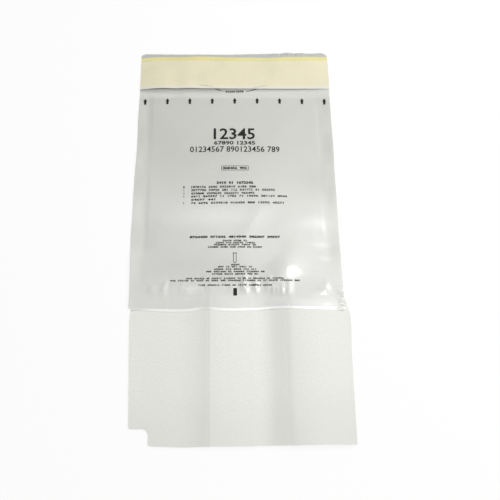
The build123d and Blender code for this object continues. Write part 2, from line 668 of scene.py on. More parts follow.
    def build(self, finish: Material) -> list[Piece]:
        """Make the sheet's two halves.

        Args:
            finish: The absorbent's material.

        Returns:
            The two pieces.
        """
        middle = sum(self.creases) / 2
        left = self.half("absorbent_sheet_left_half", self.left, middle)
        right = self.half("absorbent_sheet_right_half", middle, self.right)
        self.cut_notch(left)
        bend, length = self.bend, self.top_y - self.bottom_y
        for piece, start, a, b in (
            (left, self.creases[0] - 1.4 * bend, "sheet_left_side", "absorbent_sheet"),
            (right, self.creases[1], "absorbent_sheet", "sheet_right_side"),
        ):
            piece.data.materials.append(finish)
            # Keep the painted shade on the points for the absorbent's material.
            Surface.share(piece, "worn", self.worn_share(piece))
            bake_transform(piece)
        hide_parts("absorbent_left_panel", "absorbent_middle_panel")
        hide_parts("absorbent_right_panel")
        return [left, right]


@dataclass(frozen=True)
class Crease:
    """Soft fold or dent in a film, along a line."""

    start: tuple[float, float]
    end: tuple[float, float]
    height: float
    width: float

    def lift(self, x: Array, s: Array) -> Array:
        """Height that the crease adds.

        Args:
            x: Places across the bag.
            s: Places along the bag, from its bottom edge.

        Returns:
            The height at each place.
        """
        ax, ay = self.start
        dx, dy = self.end[0] - ax, self.end[1] - ay
        size = dx * dx + dy * dy
        along = np.clip(((x - ax) * dx + (s - ay) * dy) / size, 0.0, 1.0)
        off = np.hypot(x - ax - along * dx, s - ay - along * dy)
        return self.height * np.exp(-((off / self.width) ** 2)) * (
            0.35 + 0.65 * np.sin(math.pi * (0.15 + 0.7 * along))
        )


@dataclass
class BagShape:
    """How the bag lies: its outline and the heights of its plies."""

    sheet: AbsorbentSheet
    edge: float
    bottom_y: float
    fold_y: float
    front_y: float
    lip_y: float
    pouch_y: float
    film: float = 0.07 * MM
    side_weld: float = 13.0 * MM
    bottom_weld: float = 13.5 * MM
    puff: float = 4.8 * MM
    corner: float = 4.0 * MM
    lean: float = 0.0165
    soft: float = 1.2 * MM
    foot_run: float = 14.0 * MM
    loose_ply: float = 0.13 * MM
    side_wave: float = 0.9 * MM
    foot_wave: float = 0.05 * MM
    sheet_gap: float = 0.05 * MM
    sheet_span: float = 9.0 * MM
    drop_start: float = 3.0 * MM
    drop_run: float = 15.0 * MM
    slack_run: float = 80.0 * MM
    rise_run: float = 62.0 * MM
    neck_start: float = -95.0 * MM
    neck_run: float = 85.0 * MM
    closure_start: float = -26.0 * MM
    closure_run: float = 24.0 * MM
    dip_depth: float = 1.5 * MM
    dip_width: float = 4.2 * MM
    dip_place: float = -4.0 * MM
    lowest: float = 0.45 * MM
    rim_width: float = 2.2 * MM
    creases: list[Crease] = field(default_factory=list)
    # Soft patches of painted sheen and highlights; the negative one dims the upper right.
    milky: ClassVar[Sequence[Sequence[float]]] = (
        (-20, 108, 48, 14, 0.3),
        (92, 155, 20, 24, -0.16),
        (88, 101, 17, 8, 0.35),
        (98, 75, 11, 3, 0.2),
        (101, 58, 7, 3, 0.2),
        (62, 27, 3, 10, 0.5),
        (-51, 21, 5, 4, 0.5),
        (-78, 19, 2, 5, 0.3),
    )
    # Painted glints on the crinkled welds near the bottom edge.
    whitened: ClassVar[Sequence[Sequence[float]]] = (
        (103, 6, 16, 4.5, 0.7),
        (70, 7, 34, 4.5, 0.45),
        (-54, 14.5, 2, 1.5, 0.6),
        (57, 4, 1.2, 3, 0.5),
        (117, 14, 4, 12, 0.8),
    )
    left_wander: ClassVar[Line] = Line(
        (0, 28, 56, 88, 110, 135, 160, 190, 240, 279, 315, 340),
        (1.0, 0.9, 0.2, -1.0, -0.2, -0.5, -0.2, 0.9, 0.6, 1.0, 0.9, 0.5),
    )
    right_wander: ClassVar[Line] = Line(
        (0, 28, 60, 96, 130, 170, 190, 240, 275, 315, 340),
        (1.0, -0.6, -0.9, -0.9, -0.5, -0.6, -0.1, -0.1, 0.0, 0.6, 0.0),
    )
    foot: ClassVar[Line] = Line(
        (-120, -79, -53, -33, -18, 17, 48, 70, 120),
        (-1.2, -3.0, -3.0, -0.9, -2.5, -2.1, -0.2, -1.0, -1.9),
    )
    at_fold: ClassVar[Line] = Line(
        (-120, -88, -75, -59, -43, 33, 71, 120), (0.8, 2.9, 2.3, 3.2, 2.5, 2.2, 1.7, 2.0)
    )
    at_mouth: ClassVar[Line] = Line(
        (-120, -89, -45, -8, 34, 70, 102, 120), (0.8, 1.6, 2.2, 1.4, 1.0, 1.5, 1.6, 1.0)
    )
    dented: ClassVar[Line] = Line(
        (-120, -105, -20, 0, 60, 95, 120), (0.2, 1.0, 1.0, 0.7, 0.6, 0.45, 0.15), 1.0
    )
    # Painted sheen on partly milky film, strongest over the lower half.
    cloudy: ClassVar[Line] = Line(
        (0, 20, 45, 90, 120, 150, 190, 240), (0.72, 0.64, 0.57, 0.57, 0.56, 0.38, 0.17, 0.08), 1.0
    )
    # A little more painted sheen towards the right, over the lower half.
    cloudy_right: ClassVar[Line] = Line((-120, 0, 40, 70, 120), (0.0, 0.0, 0.0, 0.03, 0.05), 1.0)
    # How strongly the painted glint shows along the bottom edge.
    cut_edge: ClassVar[Line] = Line(
        (-120, -105, -90, -60, -44, -34, -24, 36, 48, 60, 120),
        (0.5, 0.8, 1.0, 1.0, 1.0, 0.8, 1.0, 1.0, 0.9, 1.0, 1.0),
        1.0,
    )

    @classmethod
    def from_frame(cls, sheet: AbsorbentSheet) -> "BagShape":
        """Read the bag's outline from the frame.

        Args:
            sheet: The absorbent sheet under the bag's lower end.

        Returns:
            The shape.
        """
        low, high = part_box("back_film")
        return cls(
            sheet=sheet,
            edge=high.x,
            bottom_y=low.y,
            fold_y=joint_point("closure_fold").y,
            front_y=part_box("front_film_flap")[1].y,
            lip_y=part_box("back_film_flap")[1].y,
            pouch_y=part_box("document_pouch_film")[1].y,
            creases=cls.chosen_creases(),
        )

    @staticmethod
    def chosen_creases() -> list[Crease]:
        """Creases of the front film: the large ones listed and the small ones by chance.

        Returns:
            The creases, in metres from the middle and from the bottom edge.
        """
        large = [
            ((-78, 98), (38, 124), 0.8, 12), ((84, 104), (100, 98), 0.9, 9),
            ((100, 92), (107, 91), 0.5, 4), ((46, 35), (66, 61), 1.9, 14),
            ((11, 16), (9, 36), 1.1, 4), ((21, 20), (22, 32), 0.8, 3),
            ((41, 12), (41.5, 24), 0.9, 2.2), ((45.5, 12), (46, 24), 0.9, 2.0),
            ((50, 12), (51, 26), 1.2, 2.8), ((57, 12), (60, 30), 0.8, 3.0),
            ((92, 16), (107, 25), 1.7, 7.5), ((5, 76), (30, 118), 0.8, 9),
            ((86, 60), (110, 66), 0.25, 4.5), ((86, 50), (108, 54), 0.15, 4.5),
            ((-60, 150), (60, 190), 0.6, 16), ((-70, 200), (-20, 250), 0.6, 14),
            ((40, 210), (90, 262), 0.6, 12), ((-97, 19), (-92, 22), 0.35, 2.5),
            ((-82, 22), (-78, 30), 0.6, 2.5), ((-56, 20), (-44, 24), 0.5, 3),
        ]
        made = [Crease(tuple(mm(*a)), tuple(mm(*b)), h * MM, w * MM) for a, b, h, w in large]
        chance = np.random.default_rng(12)
        for k in range(22):
            x = -104 + 208 * (k + chance.uniform(-0.3, 0.3)) / 21
            lean, reach = chance.uniform(-7, 7), chance.uniform(10, 26)
            height, width = chance.uniform(-0.3, 0.35), chance.uniform(1.8, 3.6)
            tip = (MM * (x + lean), MM * (13.0 + reach))
            made.append(Crease((MM * x, 13.0 * MM), tip, MM * height, MM * width))
        return made

    @property
    def fold(self) -> float:
        """Distance from the bag's bottom edge to its fold line."""
        return self.fold_y - self.bottom_y

    def along(self, x: Array, y: Array) -> Array:
        """Distance from the bag's bottom edge to a point of the bag as it lies."""
        return y - self.bottom_y + self.lean * x

    def inset(self, s: Array, top: float, corner: float) -> Array:
        """How far a ply is drawn in round its corners.

        Args:
            s: Places along the bag from its bottom edge.
            top: Where the ply ends.
            corner: Radius of its two upper corners.

        Returns:
            The distance at each place.
        """
        low = np.clip(self.corner - s, 0.0, self.corner)
        high = np.clip(s - (top - corner), 0.0, corner)
        drawn = self.corner - np.sqrt(np.maximum(self.corner**2 - low**2, 0.0))
        return drawn + corner - np.sqrt(np.maximum(corner**2 - high**2, 0.0))

    def sides(self, s: Array) -> tuple[Array, Array]:
        """X of the bag's left and right edges, which wander a little, at s."""
        return self.left_wander(s) - self.edge, self.right_wander(s) + self.edge

    def settle(self, points: Array) -> Array:
        """Shift points from their nominal place to where the bag really lies.

        Args:
            points: Points of a ply or of its print, changed in place.

        Returns:
            The same points.
        """
        x, s = points[..., 0].copy(), points[..., 1] - self.bottom_y
        points[..., 1] += self.foot(x) * (1.0 - ease(s / self.foot_run)) - self.lean * x
        return points

    def bed(self, x: Array, y: Array, run: float) -> Array:
        """Height of what the bag lies on: the sheet, then the table.

        Args:
            x: Places across.
            y: Places along.
            run: Over what length the film comes down past the sheet.

        Returns:
            The height.
        """
        over = 1.0 - ease((y - self.sheet.top_y - self.drop_start) / run)
        spread = (-self.sheet_span, 0.0, self.sheet_span)
        slack = sum(self.sheet.tent(x + off, y) for off in spread) / len(spread)
        ridges = np.maximum(slack, self.sheet.tent(x, y)) + self.sheet.swell(x, y)
        return over * (self.sheet.thickness + ridges + self.sheet_gap)

    def ply(self, s: Array) -> Array:
        """Height that one ply of film takes, less where the plies are welded at the bottom."""
        return self.loose_ply * (0.3 + 0.7 * ease(s / (12.0 * MM)))

    def edge_wave(self, x: Array, s: Array) -> Array:
        """Slight waves along the bag's free edges.

        Args:
            x: Places across.
            s: Places along from the bottom edge.

        Returns:
            The lift, never below 0.
        """
        side = ease((np.abs(x) - self.edge + self.side_weld) / self.side_weld)
        wave = 0.5 + 0.5 * np.sin(s * 95.0 + np.where(x > 0, 1.1, 3.0))
        foot = ease(1.0 - s / self.foot_run) * (0.5 + 0.5 * np.sin(x * 85.0 + 2.0))
        return self.side_wave * side * wave + self.foot_wave * foot

    def pillow(self, x: Array, s: Array) -> Array:
        """Height of the front film over the back film in the welded chamber.

        Args:
            x: Places across.
            s: Places along from the bottom edge.

        Returns:
            The height, 0 in the welds.
        """
        half = self.edge - self.side_weld
        across = np.clip(1.0 - (np.abs(x) / half) ** 2.1, 0.0, 1.0) ** 1.4
        up = ease((s - self.bottom_weld) / self.rise_run) ** 0.8
        down = 1.0 - 0.45 * ease((s - self.fold - self.neck_start) / self.neck_run)
        open_up = np.clip((s - self.bottom_weld) / (9.0 * MM), 0.0, 1.0)
        inside = np.clip(across * 18.0, 0.0, 1.0) * open_up
        relief = sum(crease.lift(x, s) for crease in self.creases)
        swell = 0.5 * MM * np.sin(x * 37.0 + s * 21.0) * np.sin(s * 27.0 + 1.3)
        swell = swell * ease((s - self.bottom_weld) / (40.0 * MM))
        body = self.puff * across * up * down
        return np.maximum(body + inside * (relief + swell + 0.2 * MM), 0.0)

    def closure(self, x: Array, s: Array) -> Array:
        """Height of the closure's top above the table, as its plies stand a little open."""
        share = np.clip((s - self.fold) / (self.front_y - self.fold_y), 0.0, 1.0)
        return self.at_fold(x) * (1.0 - share) + self.at_mouth(x) * share

    def into_closure(self, body: Array, flap: Array, s: Array) -> Array:
        """Height that goes over from the body's to the closure's below the fold line."""
        share = ease((s - self.fold - self.closure_start) / self.closure_run)
        return body * (1.0 - share) + flap * share

    def front(self, x: Array, y: Array) -> Array:
        """Height of the front film's upper face, from the bottom edge to the mouth.

        Args:
            x: Places across.
            y: Places along.

        Returns:
            The height.
        """
        s = y - self.bottom_y
        inner = ease((self.edge - self.side_weld - np.abs(x)) / (20.0 * MM))
        near, far = self.bed(x, y, self.drop_run), self.bed(x, y, self.slack_run)
        bed = near * (1.0 - inner) + far * inner
        body = bed + 3.0 * self.ply(s) + self.pillow(x, s) + self.edge_wave(x, s)
        dip = self.dip_depth * np.exp(-(((s - self.fold - self.dip_place) / self.dip_width) ** 2))
        height = self.into_closure(body, self.closure(x, s), s) - dip * self.dented(x)
        return np.maximum(height, self.lowest)

    def back(self, x: Array, y: Array) -> Array:
        """Height of the back film's upper face, from the bottom edge to the lip.

        Args:
            x: Places across.
            y: Places along.

        Returns:
            The height.
        """
        s = y - self.bottom_y
        body = self.bed(x, y, self.drop_run) + 2.0 * self.ply(s) + self.edge_wave(x, s)
        return self.into_closure(body, 0.35 * self.closure(x, s) + 0.2 * MM, s)

    def weld_share(self, x: Array, y: Array) -> Array:
        """Share that is 1 where the films are welded into one, as the bag lies."""
        side = ease((np.abs(x) - self.edge + self.side_weld) / self.soft)
        return np.maximum(side, ease((self.bottom_weld - self.along(x, y)) / self.soft))

    def haze_share(self, x: Array, y: Array) -> Array:
        """How pale and opaque the front film looks, partly milkiness, partly painted sheen and
        highlights: more over its slack lower half and to the right.

        Args:
            x: Places across.
            y: Places along, as the bag lies.

        Returns:
            The share of milkiness and painted sheen, from 0 to 1.
        """
        s = self.along(x, y)
        right = self.cloudy_right(x) * (1.0 - ease((s - 120.0 * MM) / (80.0 * MM)))
        return np.clip(self.cloudy(s) + right + self.patches(x, s, self.milky), 0.0, 1.0)

    @staticmethod
    def patches(x: Array, s: Array, spots: Sequence[Sequence[float]]) -> Array:
        """Sum of soft oval patches.

        Args:
            x: Places across.
            s: Places along from the bottom edge.
            spots: Middle, half sizes in millimetres and strength of each patch.

        Returns:
            Their sum at each place.
        """
        total = np.zeros_like(x)
        for cx, cs, wide, long, strength in spots:
            off = ((x / MM - cx) / wide) ** 2 + ((s / MM - cs) / long) ** 2
            total += strength * np.exp(-off)
        return total

    def rim_share(self, x: Array, y: Array) -> Array:
        """Painted white glint along the bag's bottom edge, and painted glints in a few spots near
        it.

        Args:
            x: Places across.
            y: Places along, as the bag lies.

        Returns:
            1 at the rim and 0 elsewhere.
        """
        s = self.along(x, y) - self.foot(x)
        edge = self.cut_edge(x) * (1.0 - ease((s - self.rim_width) / self.rim_width))
        return np.clip(edge + self.patches(x, s, self.whitened), 0.0, 1.0)

    def grid(
        self, start_y: float, end_y: float, height: Height, step: float, corner: float = 0.0
    ) -> Array:
        """Grid of points on a ply.

        Args:
            start_y: Where the ply starts.
            end_y: Where it ends.
            height: Height of its upper face at x and y.
            step: Distance between points.
            corner: Radius of its two upper corners.

        Returns:
            Rows by columns of points.
        """
        rows = np.linspace(start_y, end_y, 1 + round((end_y - start_y) / step))
        cols = np.linspace(0.0, 1.0, 1 + round(2 * self.edge / step))
        u, y = np.meshgrid(cols, rows)
        s = y - self.bottom_y
        left, right = self.sides(s)
        inset = self.inset(s, end_y - self.bottom_y, corner)
        x = (left + inset) * (1.0 - u) + (right - inset) * u
        return np.stack([x, y, height(x, y)], -1)


@dataclass
class FilmBag:
    """The bag's films: front, back and document pouch, and the lip past the mouth."""

    shape: BagShape
    finish: ClearFilm
    lip_finish: ClearFilm
    bend: tuple[float, float] = (-11.0 * MM, -1.5 * MM)
    tongue: float = 0.5 * MM
    fine_step: float = 1.2 * MM
    lip_step: float = 1.5 * MM
    plain_step: float = 3.0 * MM
    lip_corner: float = 6.0 * MM
    edge_pull: float = 2.0 * MM
    edge_lift: float = 1.3 * MM
    lobe: float = 8.3 * MM
    ragged: ClassVar[Line] = Line(
        (-118, -90, -28, -5, 20, 50, 75, 96, 112),
        (-1.2, -2.0, -2.4, -2.4, -1.6, -1.0, -0.2, -1.0, -0.4),
    )

    def weldable(self, piece: Piece, weld: Weld) -> None:
        """Mark where a film is welded.

        Args:
            piece: The film.
            weld: How it is held.
        """
        co = Surface.points(piece)
        welded = self.shape.weld_share(co[:, 0], co[:, 1])
        Surface.share(piece, "weld", welded if weld is Weld.WELDED else 0.0 * welded)
        # The welded front film also gets painted sheen and highlights, and a painted white glint
        # along its bottom edge.
        if weld is Weld.WELDED:
            Surface.share(piece, "rim", self.shape.rim_share(co[:, 0], co[:, 1]))
            Surface.share(piece, "haze", self.shape.haze_share(co[:, 0], co[:, 1]))

    def over_fold(self, piece: Piece) -> None:
        """Bake a film's transform into its points."""
        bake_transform(piece)

    def crinkled_edge(self, points: Array) -> None:
        """Draw in and crinkle the bag's lower right edge.

        Args:
            points: Grid of the film's points, changed in place.
        """
        x, s = points[..., 0], points[..., 1] - self.shape.bottom_y
        near = ease((x - self.shape.edge + 9.0 * MM) / (9.0 * MM))
        span = ease(s / (3.0 * MM)) * ease((27.0 * MM - s) / (6.0 * MM))
        lobes = 0.5 - 0.5 * np.cos(2 * math.pi * (s - 1.0 * MM) / self.lobe)
        points[..., 0] -= self.edge_pull * near * span * lobes
        points[..., 2] += self.edge_lift * near * span * (1.0 - lobes)

    def ply(
        self, name: str, end_y: float, height: Height, step: float, weld: Weld, material: Material
    ) -> Piece:
        """One film from the bottom edge up.

        Args:
            name: Name of the piece.
            end_y: Where it ends.
            height: Height of its upper face at x and y.
            step: Distance between its points.
            weld: How it is held.
            material: Its material.

        Returns:
            The piece.
        """
        points = self.shape.grid(self.shape.bottom_y, end_y, height, step)
        self.crinkled_edge(points)
        piece = Surface.shell(name, self.shape.settle(points), self.shape.film)
        piece.data.materials.append(material)
        self.weldable(piece, weld)
        return piece

    def front(self, material: Material) -> Piece:
        """Front film, from the bottom edge to the mouth.

        Args:
            material: The film's material.

        Returns:
            The piece.
        """
        end, height, step = self.shape.front_y, self.shape.front, self.fine_step
        piece = self.ply("front_film_of_bag", end, height, step, Weld.WELDED, material)
        self.over_fold(piece)
        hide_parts("front_film", "front_film_flap")
        return piece

    def back(self, material: Material) -> list[Piece]:
        """Back film in two pieces that meet just above the fold line.

        Args:
            material: The film's material.

        Returns:
            The body of the back film, and its lip.
        """
        shape = self.shape
        seam, step = shape.fold_y + self.tongue, self.plain_step
        body = self.ply("back_film_of_bag", seam, shape.back, step, Weld.LOOSE, material)
        self.over_fold(body)
        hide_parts("back_film")
        step, corner = self.lip_step, self.lip_corner
        points = shape.grid(seam, shape.lip_y, self.lip_height, step, corner)
        self.ragged_lip(points)
        lip = Surface.shell("back_film_lip", shape.settle(points), shape.film)
        lip.data.materials.append(self.lip_finish.material())
        self.weldable(lip, Weld.LOOSE)
        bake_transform(lip)
        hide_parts("back_film_flap")
        return [piece for piece in (body, lip)]

    def lip_height(self, x: Array, y: Array) -> Array:
        """Height of the lip, with its slight crinkles.

        Args:
            x: Places across.
            y: Places along.

        Returns:
            The height.
        """
        near = ease((y - self.shape.lip_y + 9.0 * MM) / (9.0 * MM))
        right = 0.3 + 0.4 * ease((x - 40 * MM) / (20 * MM))
        crinkle = np.abs(np.sin(x * 520.0)) * 0.7 * MM + np.abs(np.sin(x * 190.0 + 1)) * 0.8 * MM
        crinkle = crinkle * (0.2 + 0.8 * ease((self.shape.edge - np.abs(x)) / (30.0 * MM)))
        return self.shape.back(x, y) + near * right * crinkle

    def ragged_lip(self, points: Array) -> None:
        """Make the lip's upper edge a little uneven.

        Args:
            points: Grid of the lip's points, changed in place.
        """
        x, y = points[..., 0], points[..., 1]
        near = ease((y - self.shape.lip_y + 6.0 * MM) / (6.0 * MM))
        fast = 0.35 * MM * np.sin(x * 300.0) * ease((x - 45 * MM) / (10 * MM))
        points[..., 1] += near * (self.ragged(x) + fast)

    def pouch(self, material: Material) -> Piece:
        """Film of the document pouch, next to the table.

        Args:
            material: The film's material.

        Returns:
            The piece.
        """
        end, height, step = self.shape.pouch_y, self.pouch_height, self.plain_step
        piece = self.ply("document_pouch_of_bag", end, height, step, Weld.LOOSE, material)
        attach(piece, "bag")
        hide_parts("document_pouch_film")
        return piece

    def pouch_height(self, x: Array, y: Array) -> Array:
        """Height of the pouch film at x and y."""
        shape, s = self.shape, y - self.shape.bottom_y
        return shape.bed(x, y, shape.drop_run) + shape.ply(s) + shape.edge_wave(x, s)

    def build(self) -> list[Piece]:
        """Make every film and give back the pieces."""
        material = self.finish.material()
        return [self.front(material), *self.back(material), self.pouch(material)]


@dataclass
class Closure:
    """Adhesive strips and their release liners, above the fold line."""

    shape: BagShape
    inset: float = 5.0 * MM
    liner: float = 0.12 * MM
    adhesive: float = 0.10 * MM
    step: float = 1.8 * MM
    stand: float = 1.7 * MM
    drawn: ClassVar[dict[str, Line]] = {
        "yellow_release_liner": Line(
            (-120, -95, -67, -46, -15, 26, 46, 67, 120),
            (-1.8, -0.2, -0.4, 0.5, -0.2, -0.9, -1.3, 0.0, -0.2),
        ),
        "white_release_liner": Line((-120, -60, 0, 60, 120), (-1.2, -0.8, -1.0, -0.8, -0.4)),
    }
    lifted: ClassVar[Line] = Line(
        (-120, -105, -60, -15, 10, 60, 95, 120), (0.3, 1.0, 0.9, 1.0, 0.7, 0.55, 0.4, 0.1), 1.0
    )

    @staticmethod
    def over(height: Height, lift: float) -> Height:
        """Height of a layer whose upper face lies a lift over another height."""
        return lambda x, y: height(x, y) + lift

    def white_height(self, x: Array, y: Array) -> Array:
        """Height of the white liner, whose lower edge stands off the film.

        Args:
            x: Places across.
            y: Places along.

        Returns:
            The height.
        """
        off = ease((self.shape.fold_y + self.inset - y) / self.inset)
        level = np.maximum(self.shape.front(x, y), self.shape.closure(x, y - self.shape.bottom_y))
        return level + self.adhesive + self.liner + self.stand * off * self.lifted(x)

    def strip(
        self, name: str, start_y: float, end_y: float, height: Height, thickness: float
    ) -> Piece:
        """Strip across the whole bag.

        Args:
            name: Name of the piece.
            start_y: Where it starts.
            end_y: Where it ends.
            height: Height of its upper face at x and y.
            thickness: Its thickness.

        Returns:
            The piece.
        """
        points = self.shape.grid(start_y, end_y, height, self.step)
        if name in self.drawn:
            points[..., 1] += self.drawn[name](points[..., 0])
        return Surface.shell(name, self.shape.settle(points), thickness)

    def build(self) -> list[Piece]:
        """Make the adhesive strips and liners.

        Returns:
            The pieces.
        """
        yellow = (0.752, 0.692, 0.317)
        cream, white = (0.826, 0.772, 0.565), (0.82, 0.797, 0.73)
        tack = TackyAdhesive("tacky_adhesive").material()
        yellow_paper = CoatedPaper("yellow_coated_paper", yellow, yellow, 1.0).material()
        white_paper = CoatedPaper("white_coated_paper", cream, white, 0.9).material()
        glue, liner, inset = self.adhesive, self.liner, self.inset
        low, high = (v.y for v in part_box("yellow_liner"))
        fold, mouth = self.shape.fold_y, self.shape.front_y
        on_back, on_front = self.over(self.shape.back, glue), self.over(self.shape.front, glue)
        over_glue = self.over(self.shape.back, glue + liner)
        rows = (
            ("mouth_adhesive_strip", low + inset, high - inset, on_back, glue),
            ("yellow_release_liner", low, high, over_glue, liner),
            ("fold_adhesive_strip", fold + inset, mouth - inset, on_front, glue),
            ("white_release_liner", fold, mouth, self.white_height, liner),
        )
        places = (
            (tack, "mouth_lip", "mouth_adhesive", "adhesive"),
            (yellow_paper, "yellow_liner", "yellow_liner", "yellow_liner"),
            (tack, "closure_flap", "fold_adhesive", "adhesive"),
            (white_paper, "white_liner", "white_liner", "white_liner"),
        )
        made = [self.strip(*row) for row in rows]
        for piece, (material, body, node, slot) in zip(made, places):
            piece.data.materials.append(material)
            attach(piece, body)
            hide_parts(node)
        Surface.share(made[-1], "margin", self.margin_share(made[-1]))
        return made

    def margin_share(self, piece: Piece) -> Array:
        """Where no yellow liner shines through the white one: along its lower edge.

        Args:
            piece: The white liner.

        Returns:
            The share at each of its points.
        """
        co = Surface.points(piece)
        over = self.shape.along(co[:, 0], co[:, 1]) - self.shape.fold
        return 1.0 - ease((over - self.drawn[piece.name](co[:, 0]) - 0.8 * MM) / (6.0 * MM))


@dataclass
class Printing:
    """Black print on the front film: arrows, fold mark, generic lines and a register mark.

    Its places are in millimetres from the bag's middle and from its bottom edge.
    """

    shape: BagShape
    lift: float = 0.12 * MM
    stretch: float = 4.0
    chance: np.random.Generator = field(default_factory=lambda: np.random.default_rng(5))
    verts: list[tuple[float, float]] = field(default_factory=list)
    faces: list[list[int]] = field(default_factory=list)

    def patch(self, corners: Sequence[tuple[float, float]], step: float = 3.0) -> None:
        """Add a four-sided patch of ink that follows the film.

        Args:
            corners: Its corners, going round.
            step: Longest stretch of its mesh, in millimetres.
        """
        a, b, c, d = (np.array(p, float) for p in corners)
        across = max(1, math.ceil(max(np.hypot(*(b - a)), np.hypot(*(c - d))) / step))
        along = max(1, math.ceil(max(np.hypot(*(d - a)), np.hypot(*(c - b))) / step))
        first = len(self.verts)
        for j in range(along + 1):
            left = a + (d - a) * j / along
            right = b + (c - b) * j / along
            for i in range(across + 1):
                self.verts.append(tuple(left + (right - left) * i / across))
        for j in range(along):
            for i in range(across):
                k = first + j * (across + 1) + i
                self.faces.append([k, k + 1, k + across + 2, k + across + 1])

    def numerals(
        self, text: str, start: float, end: float, low: float, height: float, weight: float = 0.0
    ) -> None:
        """Add a line of plain numerals.

        Args:
            text: The numerals.
            start: Left end.
            end: Right end.
            low: Lower side.
            height: Their height.
            weight: How much their strokes are thickened.
        """
        curve = bpy.data.curves.new("numerals", "FONT")
        curve.body, curve.resolution_u, curve.offset = text, 2, weight
        holder = Surface.place("numerals", curve)
        graph = bpy.context.evaluated_depsgraph_get()
        flat = bpy.data.meshes.new_from_object(holder.evaluated_get(graph))
        shape = bmesh.new()
        shape.from_mesh(flat)
        co = np.array([v.co[:2] for v in shape.verts])
        low_corner, size = co.min(0), np.ptp(co, axis=0)
        scale = np.array([end - start, height]) / size
        for vert in shape.verts:
            x, y = (np.array(vert.co[:2]) - low_corner) * scale + (start, low)
            vert.co = (x, y, 0.0)
        long = [e for e in shape.edges if e.calc_length() > self.stretch]
        if long:
            bmesh.ops.subdivide_edges(shape, edges=long, cuts=2)
            bmesh.ops.triangulate(shape, faces=shape.faces[:])
        first = len(self.verts)
        shape.verts.ensure_lookup_table()
        self.verts += [(v.co.x, v.co.y) for v in shape.verts]
        self.faces += [[first + v.index for v in f.verts] for f in shape.faces]
        shape.free()
        bpy.data.objects.remove(holder)
        bpy.data.curves.remove(curve)
        bpy.data.meshes.remove(flat)

    def bar(self, x: float, s: float, width: float, height: float) -> None:
        """Add an upright rectangle of ink, from its lower left corner."""
        self.patch([(x, s), (x + width, s), (x + width, s + height), (x, s + height)])

    def piece(self, name: str, material: Material, under: Height | None = None) -> Piece:
        """Turn the ink laid so far into a piece on the film.

        Args:
            name: Name of the piece.
            material: The ink.
            under: Height of what it lies on, if not the front film.

        Returns:
            The piece, not yet riding on a body.
        """
        flat = np.array(self.verts, float) * MM
        x, y = flat[:, 0], flat[:, 1] + self.shape.bottom_y
        height = (under or self.shape.front)(x, y)
        verts = np.stack([x, y, height + self.lift], -1)
        made = Surface.mesh(name, self.shape.settle(verts), self.faces)
        made.data.materials.append(material)
        self.verts.clear()
        self.faces.clear()
        return made

    def arrow(self, x: float, s: float) -> None:
        """Add one small upward arrow with its tip at x and s."""
        self.patch([(x - 2.4, s - 4.0), (x + 2.4, s - 4.0), (x + 0.4, s), (x - 0.4, s)])
        self.bar(x - 1.4, s - 8.0, 2.8, 4.0)

    def line(
        self, start: float, end: float, middle: float, height: float, weight: float = 0.0
    ) -> None:
        """Add a line of numerals in groups as long as words.

        Args:
            start: Left end.
            end: Right end.
            middle: Its middle height.
            height: Height of the numerals.
            weight: How much their strokes are thickened.
        """
        text = ""
        while len(text) < (end - start) / (0.86 * height):
            count = self.chance.integers(2, 8)
            text += "".join(str(n) for n in self.chance.integers(0, 10, count)) + "  "
        self.numerals(text.strip(), start, end, middle - height / 2, height, weight)

    def build(self) -> list[Piece]:
        """Make all of the print.

        Returns:
            The pieces.
        """
        ink = FilmInk("black_film_ink").material()
        for k in range(9):
            self.arrow(0.6 + 28.05 * (k - 4), 270.4)
        self.bar(-3.0, 14.6, 4.1, 8.6)
        self.numerals("12345", -25.4, 24.9, 210.6, 15.8, 0.016)
        self.numerals("67890 12345", -25.0, 25.0, 203.0, 5.4, 0.028)
        self.numerals("01234567 890123456 789", -54.0, 54.3, 193.0, 8.0, 0.012)
        printed = [self.piece("arrows_numerals_and_register_mark", ink)]
        self.box_outline(-16.0, 168.0, 32.4, 6.0, 0.55)
        self.line(-14.2, 14.4, 171.0, 3.0, 0.05)
        self.line(-21.6, 21.5, 152.0, 3.4, 0.055)
        rows = (146.9, 142.8, 138.6, 134.8, 130.6, 126.2)
        for end, middle in zip((24.6, 47.0, 22.7, 60.9, -23.3, 56.7), rows):
            self.line(-51.7, end, middle, 2.8, 0.035)
        for number, middle in zip("12345", rows[:4] + rows[5:]):
            self.numerals(number, -61.2, -59.6, middle - 1.2, 2.4)
        self.line(-52.4, 51.2, 83.2, 3.0, 0.055)
        for start, end, middle in (
            (-14.7, 13.0, 78.4), (-22.6, 22.1, 75.9), (-24.8, 23.4, 73.4), (-31.3, 30.4, 70.7)
        ):
            self.line(start, end, middle, 2.1, 0.045)
        self.tube(-1.0, 51.8, 3.6, 12.0)
        for start, end, middle in (
            (-5.2, 4.2, 49.9), (-20.0, 18.2, 47.6), (-24.5, 22.6, 44.8), (-33.4, 32.2, 42.1),
            (-26.7, 24.7, 39.4), (-56.2, 53.6, 34.4), (-73.4, 71.3, 32.0), (-42.2, 40.0, 26.7),
        ):
            self.line(start, end, middle, 2.0, 0.045)
        printed.append(self.piece("small_numerals_and_tube_sign", ink))
        for piece in printed:
            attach(piece, "bag")
        return printed + [self.fold_mark(ink), self.shining_mark()]

    def box_outline(self, x: float, s: float, width: float, height: float, line: float) -> None:
        """Add the outline of a box, from its lower left corner.

        Args:
            x: Its left side.
            s: Its lower side.
            width: Its width.
            height: Its height.
            line: Width of the outline.
        """
        for low in (s, s + height - line):
            self.bar(x, low, width, line)
        for left in (x, x + width - line):
            self.bar(left, s + line, line, height - 2 * line)

